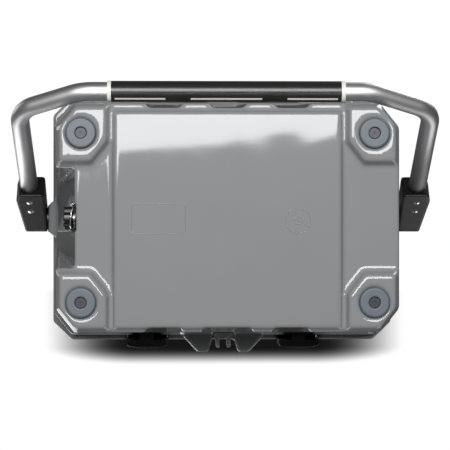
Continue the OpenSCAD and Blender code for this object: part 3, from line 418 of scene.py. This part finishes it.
def soften(name, sources, body, material, voxel, radius, rounds=6):
    """A piece that stands for CAD nodes, with its sharp edges rounded to about radius."""
    mesh = welded(sources)
    surface = BVHTree.FromBMesh(mesh)
    samples = edge_samples(mesh)
    edges = KDTree(len(samples))
    for index, point in enumerate(samples):
        edges.insert(point, index)
    edges.balance()
    data = bpy.data.meshes.new("grid")
    mesh.to_mesh(data)
    mesh.free()
    data = modified(data, "REMESH", mode="VOXEL", voxel_size=voxel)
    points = np.empty(len(data.vertices) * 3)
    data.vertices.foreach_get("co", points)
    points = points.reshape(-1, 3)
    weight = np.zeros(len(points))
    for index, point in enumerate(points):
        spot = Vector(point)
        near = surface.find_nearest(spot)[0]
        points[index] = near
        away = edges.find(near)[2] if samples else radius
        weight[index] = max(0.0, 1.0 - away / radius)
    pairs = np.empty(len(data.edges) * 2, int)
    data.edges.foreach_get("vertices", pairs)
    points = relax(points, pairs.reshape(-1, 2), np.sqrt(weight), rounds)
    data.vertices.foreach_set("co", points.ravel())
    data.update()
    triangles = 2 * len(data.polygons)
    if triangles > MOST_TRIANGLES:
        data = modified(data, "DECIMATE", ratio=MOST_TRIANGLES / triangles)
    data.polygons.foreach_set("use_smooth", [True] * len(data.polygons))
    data.update()
    piece = shown(name, data, material)
    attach(piece, body)
    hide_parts(*sources)
    print(name, len(data.polygons), "faces from", ", ".join(sources))
    return piece


# %% Tub and lid
TUB_VOXEL = 0.0026
LID_VOXEL = 0.0022
MOULD_RADIUS = 0.0036

soften("tub_moulding", ["tub_shell", "tub_foam"], "tub", grey_skin,
       TUB_VOXEL, MOULD_RADIUS)
soften("lid_moulding", ["lid_shell", "lid_foam"], "lid", grey_skin,
       LID_VOXEL, MOULD_RADIUS)

# %% Smaller pieces
# Each row: node, body, slot, finish, grid step and edge radius in metres.
SMALL = [
    ("foot_front_right", "tub", "grey_rubber", foot_rubber, 0.0009, 0.0014),
    ("foot_front_left", "tub", "grey_rubber", foot_rubber, 0.0009, 0.0014),
    ("foot_rear_right", "tub", "grey_rubber", foot_rubber, 0.0009, 0.0014),
    ("foot_rear_left", "tub", "grey_rubber", foot_rubber, 0.0009, 0.0014),
    ("latch_right", "latch_arm_right", "black_plastic", nylon, 0.0011, 0.0016),
    ("latch_left", "latch_arm_left", "black_plastic", nylon, 0.0011, 0.0016),
    ("latch_button_right", "button_right", "dark_grey_plastic", grey_nylon, 0.0006, 0.0010),
    ("latch_button_left", "button_left", "dark_grey_plastic", grey_nylon, 0.0006, 0.0010),
    ("bail_bracket_right", "bail", "black_plastic", nylon, 0.0012, 0.0022),
    ("bail_bracket_left", "bail", "black_plastic", nylon, 0.0012, 0.0022),
    ("drain_plug", "plug", "black_plastic", nylon, 0.0008, 0.0012),
    ("tub_liner", "tub", "white_liner", white_skin, 0.0024, 0.0048),
    ("lid_liner", "lid", "white_liner", white_skin, 0.0024, 0.0048),
]
for name, body, slot, material, voxel, radius in SMALL:
    soften(name + "_soft", [name], body, material, voxel, radius)

# %% [markdown]
# ## The handle tube
# A bent tube is a circle swept along a route. The route is drawn flat, in the handle's own
# plane, from the right pivot round to the left one, and its corners are replaced by arcs. The
# sweep is smooth, so the highlight runs along it without the facets of the CAD tube.

# %% Sweep a tube
TUBE_RADIUS = 0.0127
TUBE_WALL = 0.002
TUBE_SIDES = 56


def rounded(corners, radii, step=math.radians(3)):
    """The corners of a flat route, with each inner one replaced by an arc of its radius."""
    route = [corners[0]]
    for before, corner, after, radius in zip(corners, corners[1:], corners[2:], radii):
        come, go = (corner - before).normalized(), (after - corner).normalized()
        turn = come.angle_signed(go)
        start = corner - come * radius * math.tan(abs(turn) / 2)
        side = Vector((come.y, -come.x)) * (1 if turn > 0 else -1)
        count = math.ceil(abs(turn) / step)
        for i in range(count + 1):
            angle = abs(turn) * i / count
            route.append(start + come * radius * math.sin(angle)
                         + side * radius * (1 - math.cos(angle)))
    return route + [corners[-1]]


def swept(route, radius, sides, inward):
    """Points and faces of a tube surface along a flat route; inward turns the faces over."""
    points, faces = [], []
    for i, spot in enumerate(route):
        along = (route[min(i + 1, len(route) - 1)] - route[max(i - 1, 0)]).normalized()
        across = Vector((along.y, 0, -along.x))
        for j in range(sides):
            angle = 2 * math.pi * j / sides
            points.append(Vector((spot.x, 0, spot.y)) + radius * (
                math.cos(angle) * across + math.sin(angle) * Vector((0, 1, 0))))
    for i in range(len(route) - 1):
        for j in range(sides):
            a, b = i * sides + j, i * sides + (j + 1) % sides
            face = (a, a + sides, b + sides, b)
            faces.append(face[::-1] if inward else face)
    return points, faces


# %% The handle's route and its tube
HANDLE_LENGTH = 0.272
SHOULDER_DROP = 0.038
ARM_END = 0.028
HALF_WIDTH = 0.282013
HALF_GRIP = 0.195013
SHOULDER_BEND = 0.035
CORNER_BEND = 0.070
SPLAY = math.radians(1.5)
LEAN = math.radians(38.8188)
PIVOT = Vector((0.0, 0.00430, 0.300))

arm_x = HALF_WIDTH - (HANDLE_LENGTH - SHOULDER_DROP - ARM_END) * math.tan(SPLAY)
half = [Vector((arm_x, -ARM_END)), Vector((HALF_WIDTH, SHOULDER_DROP - HANDLE_LENGTH)),
        Vector((HALF_GRIP, -HANDLE_LENGTH))]
corners = half + [Vector((-spot.x, spot.y)) for spot in reversed(half)]
route = rounded(corners, [SHOULDER_BEND, CORNER_BEND, CORNER_BEND, SHOULDER_BEND])
outer, outer_faces = swept(route, TUBE_RADIUS, TUBE_SIDES, False)
inner, inner_faces = swept(route, TUBE_RADIUS - TUBE_WALL, TUBE_SIDES, True)
ends = []
for start, flip in ((0, False), ((len(route) - 1) * TUBE_SIDES, True)):
    for j in range(TUBE_SIDES):
        a, b = start + j, start + (j + 1) % TUBE_SIDES
        face = (a, b, b + len(outer), a + len(outer))
        ends.append(face[::-1] if flip else face)
swing = Matrix.Translation(PIVOT) @ Matrix.Rotation(LEAN, 4, "X")
tube_data = bpy.data.meshes.new("handle_tube")
tube_data.from_pydata([swing @ spot for spot in outer + inner], [],
                      outer_faces + [[i + len(outer) for i in face] for face in inner_faces]
                      + ends)
tube_data.polygons.foreach_set(
    "use_smooth", [i < len(outer_faces) * 2 for i in range(len(tube_data.polygons))])
tube_data.update()
tube = shown("handle_tube", tube_data, satin_tube)
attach(tube, "bail")
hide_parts("bail_tube")
print("handle tube:", len(route), "rings")

# %% [markdown]
# ## Marks on the base
# The base carries a raised frame for a label and a round date mark. Both are moulded with the
# tub, so they are thin raised lines in the same skin, and nothing is written in them.

# %% Raised lines
PANEL_Z = 0.0090
LINE_RISE = 0.0007
LINE_WIDTH = 0.0015
LINE_ROOT = 0.0002
LINE_PROFILE = [(-0.5, 0.0), (-0.25, 0.8), (0.0, 1.0), (0.25, 0.8), (0.5, 0.0)]


def raised_line(name, path, closed=True, width=LINE_WIDTH):
    """A low rounded bead along a closed or open path on the base panel."""
    points, faces = [], []
    count = len(path)
    for i, spot in enumerate(path):
        ahead = path[(i + 1) % count] if closed else path[min(i + 1, count - 1)]
        behind = path[i - 1] if closed else path[max(i - 1, 0)]
        along = (ahead - behind).normalized()
        across = Vector((along.y, -along.x))
        for offset, rise in LINE_PROFILE:
            flat = spot + across * offset * width
            height = PANEL_Z + LINE_ROOT - rise * (LINE_RISE + LINE_ROOT)
            points.append((flat.x, flat.y, height))
    rows = count if closed else count - 1
    wide = len(LINE_PROFILE)
    for i in range(rows):
        for j in range(wide - 1):
            a, b = i * wide + j, (i + 1) % count * wide + j
            faces.append((a, a + 1, b + 1, b))
    data = bpy.data.meshes.new(name)
    data.from_pydata(points, [], faces)
    data.polygons.foreach_set("use_smooth", [True] * len(data.polygons))
    data.update()
    bead = shown(name, data, grey_skin)
    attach(bead, "tub")
    return bead


def frame_path(centre, half_x, half_y, radius, steps=8):
    """A rectangle with round corners."""
    path = []
    for quarter, (sx, sy) in enumerate(((1, 1), (-1, 1), (-1, -1), (1, -1))):
        middle = centre + Vector((sx * (half_x - radius), sy * (half_y - radius)))
        for i in range(steps + 1):
            angle = math.pi / 2 * (quarter + i / steps)
            path.append(middle + radius * Vector((math.cos(angle), math.sin(angle))))
    return path


def ring_path(centre, radius, steps=48):
    return [centre + radius * Vector((math.cos(2 * math.pi * i / steps),
                                      math.sin(2 * math.pi * i / steps)))
            for i in range(steps)]


# %% Label frame and date mark
MONTHS = 12
LABEL_CENTRE = Vector((0.0905, 0.0032))
DATE_CENTRE = Vector((-0.0915, 0.0005))
DATE_RADIUS = 0.0165
HUB_RADIUS = 0.0048
TICK_FROM = 0.0135
TICK_TO = 0.0155

raised_line("label_frame", frame_path(LABEL_CENTRE, 0.0350, 0.0195, 0.0050))
raised_line("date_ring", ring_path(DATE_CENTRE, DATE_RADIUS))
raised_line("date_hub", ring_path(DATE_CENTRE, HUB_RADIUS))
for tick in range(MONTHS):
    angle = 2 * math.pi * tick / MONTHS
    spoke = Vector((math.cos(angle), math.sin(angle)))
    tick_path = [DATE_CENTRE + spoke * TICK_FROM, DATE_CENTRE + spoke * TICK_TO]
    raised_line(f"date_tick_{tick}", tick_path, False, 0.0008)
pointer = Vector((0.0022, 0.0030))
raised_line("date_pointer", [DATE_CENTRE - pointer, DATE_CENTRE + pointer], False, 0.0012)
print("marks:", MONTHS + 4)

# %% CAD nodes that keep their shape
kept_finishes = {
    "lid_gasket": seal_rubber,
    "hinge_rod": bright_steel, "hinge_end_caps": nylon, "foot_screws": black_steel,
    "latch_spring_right": bright_steel, "latch_spring_left": bright_steel,
    "latch_pin_right": bright_steel, "latch_pin_left": bright_steel,
    "latch_keeper_right": bright_steel, "latch_keeper_left": bright_steel,
    "lock_plate": bright_steel, "lock_plate_screws": bright_steel,
    "bail_grip": grip_plastic, "grip_inlays": pale_trim,
    "grip_collar_right": pale_trim, "grip_collar_left": pale_trim,
    "bracket_rivets_right": bright_steel, "bracket_rivets_left": bright_steel,
    "pivot_hub_right": nylon, "pivot_hub_left": nylon,
    "pivot_bolt_right": bright_steel, "pivot_bolt_left": bright_steel,
    "pivot_insert_right": brass, "pivot_insert_left": brass,
    "drain_bushing": grey_nylon, "drain_gasket": seal_rubber, "drain_nut": white_skin,
    "drain_plug_seal": seal_rubber, "drain_tether": wire_steel,
    "tether_anchor": bright_steel,
}
for name, material in kept_finishes.items():
    for place in nodes[name].material_slots:
        place.material = material
print("kept nodes:", len(kept_finishes))

# %% [markdown]
# ## Floor
# The floor is a plain pale sheet under the feet. Its underside is clear, and it neither shades
# nor mirrors in the cooler, so a camera below it sees the base as if it stood on glass.

# %% Floor
FLOOR_HALF = 6.0
FLOOR_Z = -0.0003


def stage_sheet(name, half, height):
    """A level square sheet that neither shades nor lights the cooler, nor shows in it."""
    data = bpy.data.meshes.new(name)
    corners = [(-half, -half, height), (half, -half, height), (half, half, height),
               (-half, half, height)]
    data.from_pydata(corners, [], [(0, 1, 2, 3)])
    sheet = bpy.data.objects.new(name, data)
    bpy.context.collection.objects.link(sheet)
    sheet.visible_shadow = False
    sheet.visible_glossy = False
    sheet.visible_diffuse = False
    return sheet


floor = stage_sheet("floor", FLOOR_HALF, FLOOR_Z)
paper = Finish("pale_floor")
underside = paper.add("ShaderNodeNewGeometry", {}, {}, "Backfacing")
white = paper.add("ShaderNodeBsdfDiffuse", {}, {"Color": colour(0.86, 0.86, 0.86)})
clear = paper.add("ShaderNodeBsdfTransparent", {}, {})
one_sided = paper.add("ShaderNodeMixShader", {}, {0: underside, 1: white, 2: clear})
paper.add("ShaderNodeOutputMaterial", {}, {"Surface": one_sided})
floor.data.materials.append(paper.material)
print("floor:", 2 * FLOOR_HALF, "m across")

# %% [markdown]
# ## Soft shadow under the front
# A soft dark patch on the backdrop sets the cooler down. It is a card just above the lid, seen
# only from below, that darkens what is behind it along the front edge and fades to nothing.

# %% Shadow card
SHADOW_Z = 0.400
SHADOW_REST = Vector((-0.005, -0.150))
SHADOW_HALF = Vector((0.130, 0.038))
SHADOW_FADE = Vector((0.150, 0.030))
CARD_HALF = 0.55
SHADOW_COVER = 0.995
SHADOW_COLOUR = colour(0.003, 0.003, 0.003)
SLANT_START = 0.15
SLANT_END = 0.45

card = stage_sheet("shadow_card", CARD_HALF, SHADOW_Z)
soft = Finish("soft_shadow")
axis_x = soft.add("ShaderNodeSeparateXYZ", {}, {0: soft.place}, "X")
axis_y = soft.add("ShaderNodeSeparateXYZ", {}, {0: soft.place}, "Y")


def past(value, centre, half, fade):
    """How far a coordinate is outside a span, in fades."""
    away = soft.add("ShaderNodeMath", {"operation": "ABSOLUTE"}, {0: value - centre})
    return soft.add("ShaderNodeMath", {"operation": "MAXIMUM"},
                    {0: (away - half) * (1.0 / fade), 1: 0.0})


over_x = past(axis_x, SHADOW_REST.x, SHADOW_HALF.x, SHADOW_FADE.x)
over_y = past(axis_y, SHADOW_REST.y, SHADOW_HALF.y, SHADOW_FADE.y)
depth = soft.between(0.0, 1.0, 1.0 - (over_x * over_x + over_y * over_y))
backface = soft.add("ShaderNodeNewGeometry", {}, {}, "Backfacing")
shade = soft.add("ShaderNodeEmission", {}, {"Color": SHADOW_COLOUR, "Strength": 1.0})
through = soft.add("ShaderNodeBsdfTransparent", {}, {})
slant = soft.add("ShaderNodeLayerWeight", {}, {"Blend": 0.5}, "Facing")
square_on = 1.0 - soft.between(SLANT_START, SLANT_END, slant)
cover = soft.add("ShaderNodeMixShader", {},
                 {0: depth * backface * square_on * SHADOW_COVER, 1: through, 2: shade})
soft.add("ShaderNodeOutputMaterial", {}, {"Surface": cover})
card.data.materials.append(soft.material)
print("shadow card:", len(soft.tree.nodes), "nodes")
